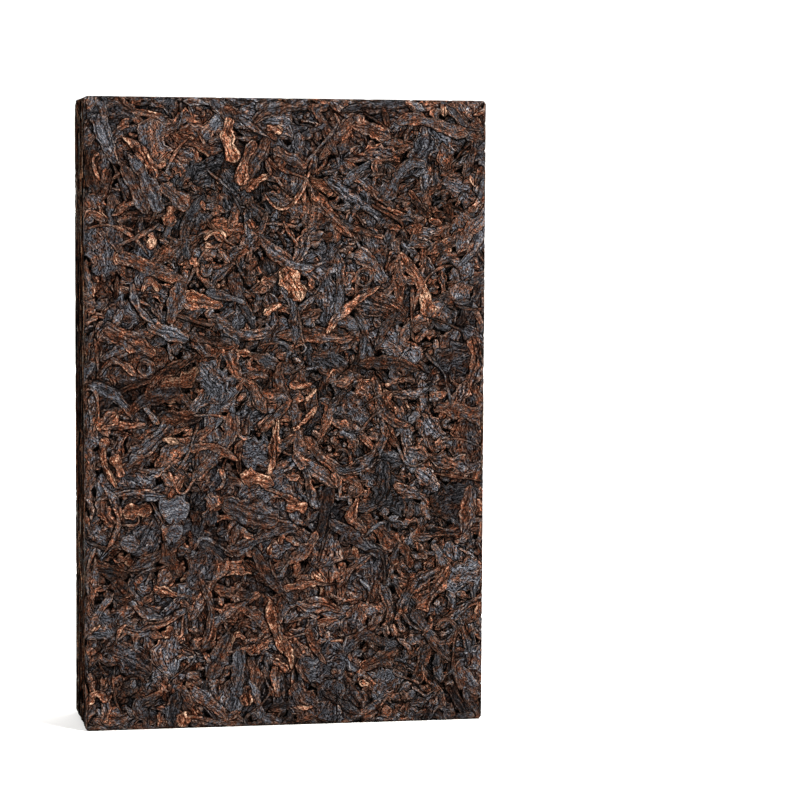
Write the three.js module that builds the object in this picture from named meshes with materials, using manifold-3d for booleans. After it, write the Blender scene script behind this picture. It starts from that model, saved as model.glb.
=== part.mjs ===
// A brick of ripe pu erh tea, unwrapped: tea leaves steamed and pressed in a rectangular mould until they hold
// together as one hard block. It stands on one short end, as a brick does on a display stand.
// The block is one solid: a core built up of pressed layers, which show as ridges along its narrow sides, with the
// largest leaves fused on at their true size, rolled strips and broad flakes lying every way on the two big faces
// and thin leaf edges lying along the layers on the sides. Smaller leaves fill the gaps of the real brick.
// Millimetres, +Z up, the broad face to the front (-Y), origin at the middle of the flat bottom end.

import * as THREE from 'three';
import { mergeVertices } from 'three/addons/utils/BufferGeometryUtils.js';
import Module from 'manifold-3d';

const wasm = await Module();
wasm.setup();

// Size of the block, which is the inside of its mould.
const BRICK_WIDTH = 90;
const BRICK_DEPTH = 25;
const BRICK_HEIGHT = 140;
const OUTLINE_CORNER = 1.8;   // radius of the outline's four corners, seen from the front
const EDGE_BEVEL = 0.9;       // worn edge between a big face and a side

// The core that carries the leaves lies a leaf's thickness inside the mould.
const LEAF_THICKNESS = 1.2;
const LAYER_COUNT = 7;        // pressed layers across the depth
const GROOVE_DEPTH = 1.3;     // how far the gap between two layers reaches in
const RIDGE_WANDER = 0.4;     // how unevenly a ridge stands out along its length
const OUTLINE_STEP = 12;      // spacing of the core's points along its straight sides
const CORNER_STEPS = 2;
const FOOT_SPARE = 2;         // how far the core runs on below the mould's end

// The largest leaves: how many lie on each big face and on the sides, their sizes, and their bend as a share of
// their length.
const ROLLED_STRIPS = { count: 66, length: [11, 18], width: [2.8, 4.4], bend: 0.4 };
const BROAD_FLAKES = { count: 30, length: [9, 13], width: [5.5, 7.5], bend: 0.15 };
const SHORT_BITS = { count: 26, length: [6, 9.5], width: [2.4, 3.6], bend: 0.1 };
const SIDE_EDGES = { count: 54, length: [10, 22], width: [1.4, 2.4], bend: 0.05 };
const LEAF_SPANS = 3;         // facets along a leaf
const CREST = [0.5, 0.97];    // share of the leaf thickness that a leaf stands up from the core
const TILT = 2.2;             // degrees that a leaf leans out of the pressed face
const LAYER_STRAY = 0.14;     // radians that a leaf edge on a side strays from its layer
const FACE_MARGIN = 4;        // how far a leaf's middle stays inside the face's edge

// The same leaves come out each time: one seeded stream of numbers in 0..1, by the mulberry32 rule.
let seed = 2507;
function random() {
  seed = (seed + 0x6d2b79f5) | 0;
  let t = Math.imul(seed ^ (seed >>> 15), 1 | seed);
  t = (t + Math.imul(t ^ (t >>> 7), 61 | t)) ^ t;
  return ((t ^ (t >>> 14)) >>> 0) / 4294967296;
}

function between([low, high]) {
  return low + (high - low) * random();
}

// Points of an even spread over the unit square, by the golden-ratio rule for two dimensions.
function spread(index) {
  return [(0.5 + index * 0.7548776662) % 1, (0.5 + index * 0.5698402910) % 1];
}

// A closed three.js geometry as a solid, with its shared vertices merged and its flat slivers dropped.
function toSolid(geometry) {
  const bare = geometry.clone();
  bare.deleteAttribute('normal');
  bare.deleteAttribute('uv');
  const merged = mergeVertices(bare, 1e-5);
  const kept = [];
  const index = merged.index.array;
  for (let i = 0; i < index.length; i += 3) {
    const [a, b, c] = [index[i], index[i + 1], index[i + 2]];
    if (a !== b && b !== c && c !== a) kept.push(a, b, c);
  }
  return new wasm.Manifold(new wasm.Mesh({
    numProp: 3,
    vertProperties: new Float32Array(merged.attributes.position.array),
    triVerts: new Uint32Array(kept),
  }));
}

// A solid as a geometry again, with flat-shaded faces.
function toGeometry(solid) {
  const mesh = solid.getMesh();
  const geometry = new THREE.BufferGeometry();
  geometry.setAttribute('position', new THREE.BufferAttribute(new Float32Array(mesh.vertProperties), 3));
  geometry.setIndex(new THREE.BufferAttribute(new Uint32Array(mesh.triVerts), 1));
  return geometry;
}

// The brick's outline seen from the front, a rectangle with round corners, drawn in X and Z.
function outline(width, height, radius) {
  const shape = new THREE.Shape();
  const [right, top] = [width / 2, height];
  shape.moveTo(-right + radius, 0);
  shape.lineTo(right - radius, 0);
  shape.absarc(right - radius, radius, radius, -Math.PI / 2, 0);
  shape.lineTo(right, top - radius);
  shape.absarc(right - radius, top - radius, radius, 0, Math.PI / 2);
  shape.lineTo(-right + radius, top);
  shape.absarc(-right + radius, top - radius, radius, Math.PI / 2, Math.PI);
  shape.lineTo(-right, radius);
  shape.absarc(-right + radius, radius, radius, Math.PI, Math.PI * 1.5);
  return shape;
}

// The inside of the mould, which nothing on the brick stands out of: its end at z = 0 is the flat foot.
function mould() {
  const shape = outline(BRICK_WIDTH - 2 * EDGE_BEVEL, BRICK_HEIGHT - 2 * EDGE_BEVEL, OUTLINE_CORNER - EDGE_BEVEL);
  const geometry = new THREE.ExtrudeGeometry(shape, {
    depth: BRICK_DEPTH - 2 * EDGE_BEVEL,
    bevelThickness: EDGE_BEVEL,
    bevelSize: EDGE_BEVEL,
    bevelSegments: 1,
    curveSegments: 4,
  });
  geometry.translate(0, EDGE_BEVEL, -(BRICK_DEPTH / 2 - EDGE_BEVEL));
  geometry.rotateX(Math.PI / 2);
  return toSolid(geometry);
}

// The core's section from the back face to the front one, as [inset, y] pairs on a turned profile: a worn edge,
// then a ridge and a groove for each pressed layer. The inset is measured in from the core's outline.
function layerProfile() {
  const half = BRICK_DEPTH / 2 - LEAF_THICKNESS;
  const pitch = (2 * half - 2 * EDGE_BEVEL) / LAYER_COUNT;
  const rings = [[EDGE_BEVEL, -half], [0, -half + EDGE_BEVEL]];
  for (let layer = 0; layer < LAYER_COUNT; layer++) {
    const ridge = -half + EDGE_BEVEL + (layer + 0.5) * pitch;
    rings.push([0, ridge]);
    if (layer < LAYER_COUNT - 1) rings.push([GROOVE_DEPTH, ridge + pitch * 0.5]);
  }
  rings.push([0, half - EDGE_BEVEL], [EDGE_BEVEL, half]);
  return rings.reverse();
}

// The core's outline as [point, way in] pairs, all the way round: each straight side in even steps and each
// corner in a few. It reaches below the mould, which then cuts its foot flat.
function coreTrack() {
  const shape = outline(BRICK_WIDTH - 2 * LEAF_THICKNESS, BRICK_HEIGHT - LEAF_THICKNESS + FOOT_SPARE, OUTLINE_CORNER);
  const track = [];
  for (const curve of shape.curves) {
    const steps = curve.isLineCurve ? Math.round(curve.getLength() / OUTLINE_STEP) : CORNER_STEPS;
    for (let step = 0; step < steps; step++) {
      const point = curve.getPoint(step / steps);
      const tangent = curve.getTangent(step / steps);
      point.y -= FOOT_SPARE;
      track.push([point, new THREE.Vector2(-tangent.y, tangent.x)]);
    }
  }
  return track;
}

// The core: a lathed stack of rings whose circle is drawn out to the brick's outline. Each ring's points are set
// in by the layer's inset and a little unevenness, so that ridges swell and fade along the side.
function core() {
  const rings = layerProfile();
  const track = coreTrack();
  const profile = [[0, rings[0][1]], ...rings, [0, rings.at(-1)[1]]].map(([x, y]) => new THREE.Vector2(x, y));
  const geometry = new THREE.LatheGeometry(profile, track.length);
  const position = geometry.attributes.position;
  const uneven = Array.from({ length: track.length * profile.length }, random);
  for (let step = 0; step <= track.length; step++) {
    const [point, inward] = track[step % track.length];
    for (let ring = 0; ring < profile.length; ring++) {
      const spot = step * profile.length + ring;
      const y = profile[ring].y;
      if (ring === 0 || ring === profile.length - 1) {
        position.setXYZ(spot, 0, y, BRICK_HEIGHT / 2);
        continue;
      }
      const inset = rings[ring - 1][0];
      const share = uneven[(step % track.length) * profile.length + ring];
      const wander = inset === GROOVE_DEPTH ? inset * (0.3 + 0.7 * share) : inset + RIDGE_WANDER * share;
      const place = point.clone().addScaledVector(inward, wander);
      position.setXYZ(spot, place.x, y, place.y);
    }
  }
  return toSolid(geometry);
}

// The size of one leaf of a kind, and how far its middle line is bent to a side.
function measure({ length, width, bend }) {
  const long = between(length);
  return { long, wide: between(width), bow: (random() - 0.5) * bend * long, lean: random() - 0.5 };
}

// One leaf, lying along X with its crest up +Z: a four-sided sphere stretched to the leaf's length and width,
// blunted, bent into an arc, and with its lower half sunk in the core as a keel.
function leaf({ long, wide, bow, lean }, rise) {
  const geometry = new THREE.SphereGeometry(1, 4, LEAF_SPANS);
  const position = geometry.attributes.position;
  for (let i = 0; i < position.count; i++) {
    const along = -position.getY(i);
    const round = Math.hypot(position.getX(i), position.getZ(i));
    const blunt = round > 0 ? 1 / Math.sqrt(round) : 0;
    const side = position.getZ(i) * blunt;
    const up = -position.getX(i) * blunt;
    const crest = Math.max(up, 0);
    const middle = bow * (1 - along * along) + lean * wide * 0.5 * crest;
    position.setXYZ(i, along * long / 2, side * wide / 2 + middle, up > 0 ? up * rise : up * LEAF_THICKNESS);
  }
  return geometry;
}

// The way that a leaf on a big face points. Near an edge it lies along it, because the mould's wall turned it.
function headingAt(x, z, long) {
  const room = (distance) => Math.min(1, Math.max(0, distance - EDGE_BEVEL) / (long / 2));
  const least = Math.acos(room(BRICK_WIDTH / 2 - Math.abs(x)));
  const most = Math.asin(room(Math.min(z, BRICK_HEIGHT - z)));
  return (least + (most - least) * random()) * (random() < 0.5 ? -1 : 1);
}

// Leaves of one kind on a big face, evenly spread and lying every way. face is -1 at the front and 1 at the back.
function faceLeaves(kind, face, offset) {
  const solids = [];
  const half = BRICK_DEPTH / 2 - LEAF_THICKNESS;
  for (let i = 0; i < kind.count; i++) {
    const [u, v] = spread(i + offset);
    const x = (u - 0.5) * (BRICK_WIDTH - 2 * FACE_MARGIN);
    const z = FACE_MARGIN + v * (BRICK_HEIGHT - 2 * FACE_MARGIN);
    const size = measure(kind);
    const geometry = leaf(size, between(CREST) * LEAF_THICKNESS);
    geometry.rotateY(THREE.MathUtils.degToRad((random() - 0.5) * 2 * TILT));
    geometry.rotateZ(headingAt(x, z, size.long));
    geometry.rotateX(face < 0 ? Math.PI / 2 : -Math.PI / 2);
    geometry.translate(x, face * half, z);
    solids.push(toSolid(geometry));
  }
  return solids;
}

// Leaf edges on the two long sides and the top end, each lying along one of the pressed layers.
function sideLeaves(kind) {
  const solids = [];
  const depth = BRICK_DEPTH - 2 * LEAF_THICKNESS - 2 * EDGE_BEVEL;
  const sides = [
    { turn: 0, out: BRICK_HEIGHT - LEAF_THICKNESS, run: BRICK_WIDTH },
    { turn: Math.PI / 2, out: BRICK_WIDTH / 2 - LEAF_THICKNESS, run: BRICK_HEIGHT },
    { turn: -Math.PI / 2, out: BRICK_WIDTH / 2 - LEAF_THICKNESS, run: BRICK_HEIGHT },
  ];
  const whole = sides.reduce((sum, side) => sum + side.run, 0);
  for (const { turn, out, run } of sides) {
    const count = Math.round(kind.count * run / whole);
    for (let i = 0; i < count; i++) {
      const [u, v] = spread(i);
      const size = measure(kind);
      const layer = Math.floor(v * LAYER_COUNT) + 0.35 + 0.3 * random();
      const reach = OUTLINE_CORNER + size.long / 2;
      const geometry = leaf(size, between(CREST) * LEAF_THICKNESS);
      geometry.rotateZ((random() - 0.5) * LAYER_STRAY);
      geometry.translate((u - 0.5) * (run - 2 * reach), (layer / LAYER_COUNT - 0.5) * depth, out);
      geometry.rotateY(turn);
      if (turn !== 0) geometry.translate(0, 0, BRICK_HEIGHT / 2);
      solids.push(toSolid(geometry));
    }
  }
  return solids;
}

function pressedBrick() {
  const pieces = [core()];
  for (const face of [-1, 1]) {
    pieces.push(...faceLeaves(BROAD_FLAKES, face, 0));
    pieces.push(...faceLeaves(ROLLED_STRIPS, face, BROAD_FLAKES.count));
    pieces.push(...faceLeaves(SHORT_BITS, face, BROAD_FLAKES.count + ROLLED_STRIPS.count));
  }
  pieces.push(...sideLeaves(SIDE_EDGES));
  const joined = pieces.reduce((whole, piece) => whole.add(piece));
  return toGeometry(joined.intersect(mould()));
}

const ripeTea = new THREE.MeshStandardMaterial({ color: 0x4a3a33, roughness: 0.6, metalness: 0 });
const brick = new THREE.Mesh(pressedBrick(), ripeTea);
brick.name = 'pressed_tea_brick';

const group = new THREE.Group();
group.add(brick);

export default group;
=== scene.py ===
"""Looks of a bare brick of ripe pu erh tea, as a Blender add-on that is run as a script.

The brick is built the way a tea press makes it: leaves are strewn in a mould one after another, each draping
over those below it, and then the whole bed is pressed flat against the mould's walls.
"""
import functools
import math

import bpy
import numpy as np
from bpy.props import FloatProperty, FloatVectorProperty, IntProperty, PointerProperty
from mathutils import Matrix, Vector


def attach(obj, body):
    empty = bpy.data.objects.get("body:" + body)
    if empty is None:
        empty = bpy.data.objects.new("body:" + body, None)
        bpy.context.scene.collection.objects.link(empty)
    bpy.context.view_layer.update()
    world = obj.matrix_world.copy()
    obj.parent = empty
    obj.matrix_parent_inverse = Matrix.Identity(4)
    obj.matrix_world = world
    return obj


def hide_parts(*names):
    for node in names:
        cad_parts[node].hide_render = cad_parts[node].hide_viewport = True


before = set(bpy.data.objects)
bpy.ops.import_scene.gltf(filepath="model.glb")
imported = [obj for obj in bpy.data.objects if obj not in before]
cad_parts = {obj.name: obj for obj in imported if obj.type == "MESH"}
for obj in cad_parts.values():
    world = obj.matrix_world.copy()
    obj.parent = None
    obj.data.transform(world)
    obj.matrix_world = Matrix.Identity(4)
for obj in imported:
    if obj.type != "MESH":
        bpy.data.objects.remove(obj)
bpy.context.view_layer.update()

bl_info = {
    "name": "Pressed tea brick",
    "version": (1, 0, 0),
    "blender": (4, 5, 0),
    "location": "View3D > Sidebar > Tea brick",
    "description": "Strews and presses the leaves of a pu erh tea brick, and sets its studio",
    "category": "Add Mesh",
}

MM = 0.001

# Lengths below are millimetres. The nominal block is the inside of the mould.
WIDTH = 90.0
DEPTH = 25.0
HEIGHT = 140.0
CORNER = 0.9         # radius of the outline's corners, seen from the front
EDGE = 0.7           # radius between a big face and a side
CELL = 0.3           # pitch of the height fields that leaves drape over
RIM = 3.0            # how far a face's bed of leaves runs on round the edge
OVER_EDGE = 1.2      # how far a leaf may reach over the edge before the mould pushes it back in


def srgb(hex_value):
    """Linear RGBA of an sRGB hex colour."""
    channels = np.array([int(hex_value[i:i + 2], 16) for i in (1, 3, 5)]) / 255
    linear = np.where(channels <= 0.04045, channels / 12.92, ((channels + 0.055) / 1.055) ** 2.4)
    return (*linear.tolist(), 1.0)


class Chart:
    """A flat sheet (u, v) that wraps on to the block, with h the height above the mould's wall."""

    def __init__(self, name, size, periodic):
        self.name = name
        self.size = np.array(size)
        self.periodic = periodic
        self.shape = tuple(np.round(self.size / CELL).astype(int))

    def cells(self, u, v):
        """The height field's cell under each point, wrapping round on the band."""
        i = np.floor((u / self.size[0] + 0.5) * self.shape[0]).astype(int)
        j = np.floor((v / self.size[1] + 0.5) * self.shape[1]).astype(int)
        if self.periodic:
            i = i % self.shape[0]
        else:
            i = np.clip(i, 0, self.shape[0] - 1)
        return i, np.clip(j, 0, self.shape[1] - 1)


class FaceChart(Chart):
    """A big face: u runs across and v up. Past the outline's edge the sheet bends down over the side."""
    wall = -0.12    # the mould's wall above the bed's mean height
    soft = 0.07     # how gradually it flattens what reaches it
    deepen = 1.0    # how much hollows are drawn in
    depth = 0.45    # the deepest hollow
    shade = 0.45    # how far under the mean height a point is in full painted shade

    def __init__(self, name, side):
        super().__init__(name, (WIDTH + 2 * RIM, HEIGHT + 2 * RIM), False)
        self.side = side

    def place(self, u, v, h):
        """Flat up to the edge's radius, then a quarter circle, then straight down the side."""
        past_u = u - np.clip(u, CORNER - WIDTH / 2, WIDTH / 2 - CORNER)
        past_v = v - np.clip(v, CORNER - HEIGHT / 2, HEIGHT / 2 - CORNER)
        past = np.maximum(np.hypot(past_u, past_v), 1e-9)
        bent = np.maximum(past - (CORNER - EDGE), 0)
        angle = np.minimum(bent / EDGE, math.pi / 2)
        fall = np.maximum(bent - EDGE * math.pi / 2, 0)
        out = (EDGE + h) * np.sin(angle) - bent
        x = u + past_u / past * out
        z = v + past_v / past * out
        y = DEPTH / 2 - EDGE + (EDGE + h) * np.cos(angle) - fall
        return np.stack([x, self.side * y, z + HEIGHT / 2], -1)


class BandChart(Chart):
    """The narrow sides as one band: u runs round the outline, and v across the depth from front to back."""
    wall = 0.1
    soft = 0.1
    deepen = 2.0
    depth = 1.4
    shade = 0.2

    def __init__(self):
        self.straight = np.array([HEIGHT - 2 * CORNER, WIDTH - 2 * CORNER] * 2)
        self.arc = CORNER * math.pi / 2
        super().__init__("band", (self.straight.sum() + 4 * self.arc, DEPTH), True)

    def place(self, u, v, h):
        """Walks the outline from the right side's foot: four straight runs, a quarter circle after each.
        Across the depth it is straight between the big faces' edges, and a quarter circle over each."""
        start = np.cumsum(np.concatenate([[0], self.straight + self.arc]))
        along = (u + self.size[0] / 2) % self.size[0]
        run = np.clip(np.searchsorted(start, along, side="right") - 1, 0, 3)
        within = along - start[run]
        turned = np.clip((within - self.straight[run]) / CORNER, 0, math.pi / 2)
        ahead = np.minimum(within, self.straight[run])
        bend = np.clip((np.abs(v) - (DEPTH / 2 - EDGE)) / EDGE, 0, math.pi / 2)
        out = CORNER - EDGE + (EDGE + h) * np.cos(bend)
        half = np.array([WIDTH / 2 - CORNER, HEIGHT / 2 - CORNER])
        local_out = out * np.cos(turned)
        local_on = ahead + out * np.sin(turned)
        corner_x = np.array([half[0], half[0], -half[0], -half[0]])[run]
        corner_z = np.array([-half[1], half[1], half[1], -half[1]])[run]
        way = np.array([[0, 1], [-1, 0], [0, -1], [1, 0]])[run]
        off = np.array([[1, 0], [0, 1], [-1, 0], [0, -1]])[run]
        x = corner_x + way[..., 0] * local_on + off[..., 0] * local_out
        z = corner_z + way[..., 1] * local_on + off[..., 1] * local_out
        y = np.sign(v) * (np.minimum(np.abs(v), DEPTH / 2 - EDGE) + (EDGE + h) * np.sin(bend))
        return np.stack([x, y, z + HEIGHT / 2], -1)


class Leaf:
    """One kind of leaf: its size ranges, how it was rolled and torn, and how finely it is meshed.

    length, width, thick: ranges in mm.  bend: usual turn of the middle line, in radians.
    ridges: range of the number of folds across.  stations, across: points along and across.
    crease, crumple: share of the height that folds and crumpling take away.
    coil, hook: how much, and how often, the end winds up.  jag: roughness of the margin.
    stiff: how little it follows the bed below.  blunt: range of how square the ends are."""

    def __init__(self, name, length, width, bend, ridges, thick, stations, across, crease=0.55, crumple=0.0,
                 coil=0.0, hook=0.0, jag=0.0, stiff=0.35, blunt=(2.2, 6.0)):
        self.name = name
        self.length = length
        self.width = width
        self.bend = bend
        self.ridges = ridges
        self.thick = thick
        self.stations = stations
        self.across = across
        self.crease = crease
        self.crumple = crumple
        self.coil = coil
        self.hook = hook
        self.jag = jag
        self.stiff = stiff
        self.blunt = blunt


ROLLED = Leaf("rolled", (9, 19), (2.2, 3.9), 0.4, (2, 3), (0.6, 0.9), 13, 8,
              crease=0.6, jag=0.15, hook=0.05, stiff=0.6)
BROKEN = Leaf("broken", (5, 10), (1.7, 3.8), 0.4, (2, 3), (0.5, 0.8), 10, 9,
              crease=0.6, jag=0.15, hook=0.08, stiff=0.6)
TWISTED = Leaf("twisted", (4, 9), (0.9, 1.8), 0.6, (1, 2), (0.45, 0.7), 10, 5,
               crease=0.5, jag=0.12, hook=0.3)
BROAD = Leaf("broad", (7, 14), (4.5, 8.5), 0.25, (3, 5), (0.4, 0.7), 13, 11,
             crumple=0.4, crease=0.3, stiff=0.4, jag=0.15)
STALK = Leaf("stalk", (8, 19), (0.8, 1.2), 0.35, (1, 2), (0.5, 0.7), 18, 5,
             crease=0.2, stiff=0.7, blunt=(6, 9), hook=0.6)
CURL = Leaf("curl", (10, 16), (1.2, 1.9), 0.2, (1, 2), (0.5, 0.75), 24, 5,
            crease=0.5, coil=1.0, jag=0.1)
BIT = Leaf("bit", (2.2, 6.0), (1.1, 2.8), 0.4, (1, 2), (0.3, 0.5), 6, 5, crease=0.5, jag=0.18)
CRUMB = Leaf("crumb", (1.0, 3.2), (0.7, 1.7), 0.4, (1, 2), (0.3, 0.5), 5, 4, crease=0.5, jag=0.2)
RIMWISE = Leaf("rimwise", (4, 8), (1.4, 2.8), 0.3, (1, 3), (0.6, 0.9), 8, 6,
               crease=0.5, jag=0.15, stiff=0.6)
PLACED = Leaf("placed", (3, 20), (0.8, 5.5), 0.0, (2, 3), (0.6, 0.9), 18, 9,
              crease=0.5, jag=0.08, stiff=0.7, blunt=(4, 9))
EDGEWISE = Leaf("edgewise", (5, 24), (0.6, 2.6), 0.12, (1, 2), (0.4, 0.8), 14, 4,
                crease=0.4, stiff=0.6, jag=0.2)

# How many leaves of each kind lie in a bed, and then how many bits fill its hollows.
FACE_COUNTS = ((ROLLED, 340), (BROKEN, 260), (TWISTED, 200), (BROAD, 270), (STALK, 90), (CURL, 6),
               (CRUMB, 150))
FACE_FILLING = ((BIT, 560), (CRUMB, 300))
RIM_COUNT = 150
BAND_COUNTS = ((EDGEWISE, 1050), (TWISTED, 60), (CRUMB, 60))
BAND_FILLING = ((BIT, 160), (CRUMB, 80))

# When each kind is laid, as a range between the bed's first leaf, 0, and its last, 1.
LAYING = {"crumb": (0.0, 0.5), "broad": (0.0, 0.9), "rolled": (0.35, 1.0), "stalk": (0.6, 1.0),
          "curl": (0.8, 1.0)}
USUAL_LAYING = (0.05, 0.9)

PHASES = (0, 6.3)           # a wave may start anywhere in its turn
EVERY_WAY = 2 * math.pi


def drawn(rng, count, span, axes=1):
    """An even draw from the span for each leaf, followed by that many axes of length one."""
    return rng.uniform(*span, (count, *[1] * axes))


ONE_WAY = 0.6               # how much of a leaf's bend curves one way only, against what curves both ways
WAVER = 0.25                # how much of it wavers
WAVER_TURNS = (2, 5)        # radians of wavering from the middle to an end
COIL_TURN = (7, 10)         # radians that a curl winds through
COIL_RISE = 0.55            # power by which it winds fastest at its start
COIL_STEP = 1.45            # its first step, against the usual one
COIL_SHRINK = 0.9           # how much smaller its last step is
HOOK_START = (-0.2, 0.5)    # where a hook begins, with the leaf from -1 to 1
HOOK_LENGTH = 0.6
HOOK_TURN = (-2.9, 2.9)     # radians


def strew(rng, kind, u, v, heading):
    """Leaves of one kind with their middles at the given places. A leaf's middle line starts from a heading
    and turns as it goes, so its points are running sums of unit steps. The turn is a straight line plus a
    parabola plus a wave along the leaf, a power of the way along for a curl, and a smooth step for a
    hooked end."""
    count = len(u)
    along = np.linspace(-1, 1, kind.stations)
    length = drawn(rng, count, kind.length)
    width = drawn(rng, count, kind.width)
    turn = rng.normal(0, kind.bend, (count, 1)) * along
    turn = turn + rng.normal(0, kind.bend * ONE_WAY, (count, 1)) * along ** 2
    wavering = along * drawn(rng, count, WAVER_TURNS) + drawn(rng, count, PHASES)
    turn = turn + WAVER * kind.bend * np.sin(wavering)
    reach = (along + 1) / 2
    if kind.coil:
        hand = np.sign(drawn(rng, count, (-1, 1)))
        turn = turn + hand * kind.coil * drawn(rng, count, COIL_TURN) * reach ** COIL_RISE
    if kind.hook:
        bent = np.clip((along - drawn(rng, count, HOOK_START)) / HOOK_LENGTH, 0, 1)
        hooked = rng.random((count, 1)) < kind.hook
        turn = turn + hooked * drawn(rng, count, HOOK_TURN) * bent ** 2 * (3 - 2 * bent)
    angle = heading[:, None] + turn
    step = length / (kind.stations - 1)
    if kind.coil:
        step = step * (COIL_STEP - COIL_SHRINK * reach)
    line_u = np.cumsum(np.cos(angle) * step, 1)
    line_v = np.cumsum(np.sin(angle) * step, 1)
    line_u += u[:, None] - line_u.mean(1, keepdims=True)
    line_v += v[:, None] - line_v.mean(1, keepdims=True)
    return leaf_bodies(rng, kind, (line_u, line_v, angle), length, width)


PLACED_WIDEN = 1.2          # a placed leaf's neighbours cover its margins, so it is wider than what shows


def place_by_hand(rng, kind, rows):
    """Leaves as parabolas through three given points each: start, middle, end, then width, warmth, tone."""
    rows = np.array(rows)
    reach = np.linspace(0, 1, kind.stations)
    weights = np.stack([(1 - reach) * (1 - 2 * reach), 4 * reach * (1 - reach), reach * (2 * reach - 1)])
    line_u = rows[:, 0:6:2] @ weights
    line_v = rows[:, 1:6:2] @ weights
    step_u, step_v = np.gradient(line_u, axis=1), np.gradient(line_v, axis=1)
    length = np.hypot(step_u, step_v).sum(1, keepdims=True)
    angle = np.arctan2(step_v, step_u)
    group = leaf_bodies(rng, kind, (line_u, line_v, angle), length, PLACED_WIDEN * rows[:, 6:7])
    group["given"] = rows[:, 7:9]
    return group


CROWDING = 1.35             # points across a leaf crowd towards its margins, as the sine of up to this does
LOPSIDED = 0.35             # how much wider one end of a leaf may be
TAPER = 0.55                # power that rounds its ends
SWELL = 0.2                 # how much its width swells along it
SWELL_TURNS = (3, 8)        # radians of swelling from the middle to an end
NARROWEST = 0.04            # half width, in mm, of a leaf's very end
FOLD_DRIFT = (-0.8, 0.8)    # how many folds the folds move aside from the middle to an end
FOLD_WAVER = 0.18
FOLD_WIDTH = 0.6            # power below 1: narrow valleys between broad folds
CRUMPLES = (1.0, 2.1, 3.7)  # the crumpling's wave numbers, each as high as its length
CRUMPLE_TURNS = (2, 4)
CRUMPLE_SLANT = (-3, 3)
CRUMPLE_TOP = 1.75          # the height of all its waves together
SKIN = 0.09                 # unevenness of the skin, as a share of the leaf's thickness
WRINKLED = (0.5, 1.0)       # range of how strongly a leaf's skin is wrinkled


def leaf_bodies(rng, kind, line, length, width):
    """Shapes of many leaves of a kind round their middle lines, as arrays of leaf, station and point across.

    The half width is half the width times (1 - |along|**blunt) to a power. The height is a crown across the
    leaf, the root of 1 - |side|**5, less creases: a power of |sin| of the folds across, which wander to one
    side along the leaf. A crumpled leaf loses a share of its height to slanting waves."""
    line_u, line_v, angle = line
    count = len(line_u)
    stations, across = kind.stations, kind.across
    along = np.linspace(-1, 1, stations)
    lengthwise = along[:, None]
    side = np.sin(np.linspace(-1, 1, across) * CROWDING) / math.sin(CROWDING)
    blunt = drawn(rng, count, kind.blunt)
    lopsided = 1 + LOPSIDED * drawn(rng, count, (-1, 1)) * along
    half = width / 2 * (1 - np.abs(along) ** blunt) ** TAPER * lopsided
    half = half * (1 + SWELL * np.sin(along * drawn(rng, count, SWELL_TURNS) + drawn(rng, count, PHASES)))
    half = np.maximum(half, NARROWEST)
    ragged = 1 + kind.jag * rng.normal(0, 1, (count, stations, 2))
    reach_across = half[..., None] * np.where(side < 0, ragged[..., :1], ragged[..., 1:]) * side
    ridges = rng.integers(kind.ridges[0], kind.ridges[1] + 1, count)[:, None, None]
    wander = drawn(rng, count, FOLD_DRIFT, 2) * lengthwise
    wander = wander + FOLD_WAVER * np.sin(3 * lengthwise + drawn(rng, count, PHASES, 2))
    folds = ridges * (side + 1) / 2 + wander + drawn(rng, count, (0, 1), 2)
    fold = np.abs(np.sin(math.pi * folds)) ** FOLD_WIDTH
    crown = np.maximum(1 - np.abs(side) ** 5, 0) ** 0.5
    ends = (1 - np.abs(lengthwise) ** 6) ** 0.5
    relief = crown * ends * (1 - kind.crease * (1 - fold))
    if kind.crumple:
        wave = np.zeros((count, stations, across))
        for size in CRUMPLES:
            phase = drawn(rng, count, PHASES, 2)
            slant = drawn(rng, count, CRUMPLE_TURNS, 2) * lengthwise
            slant = slant + drawn(rng, count, CRUMPLE_SLANT, 2) * side
            wave += np.abs(np.sin(phase + size * slant)) / size
        relief = relief * (1 - kind.crumple * (1 - wave / CRUMPLE_TOP))
    relief = relief + SKIN * rng.normal(0, 1, relief.shape) * crown * ends
    to_end = (1 - np.abs(along)) * length / 2
    return {
        "kind": kind,
        "u": line_u[..., None] - np.sin(angle)[..., None] * reach_across,
        "v": line_v[..., None] + np.cos(angle)[..., None] * reach_across,
        "relief": relief * drawn(rng, count, kind.thick, 2),
        "along": np.broadcast_to(lengthwise * length[:, None] / 2, relief.shape),
        "side": np.broadcast_to(side * width[:, None] / 2, relief.shape),
        "margin": np.minimum(half[..., None] * (1 - np.abs(side)), to_end[..., None]),
        # How strongly the leaf's creases are painted in shade and its ridges painted with a highlight, and
        # how high its wrinkles' bump is.
        "wrinkle": rng.uniform(*WRINKLED, count),
    }


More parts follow.
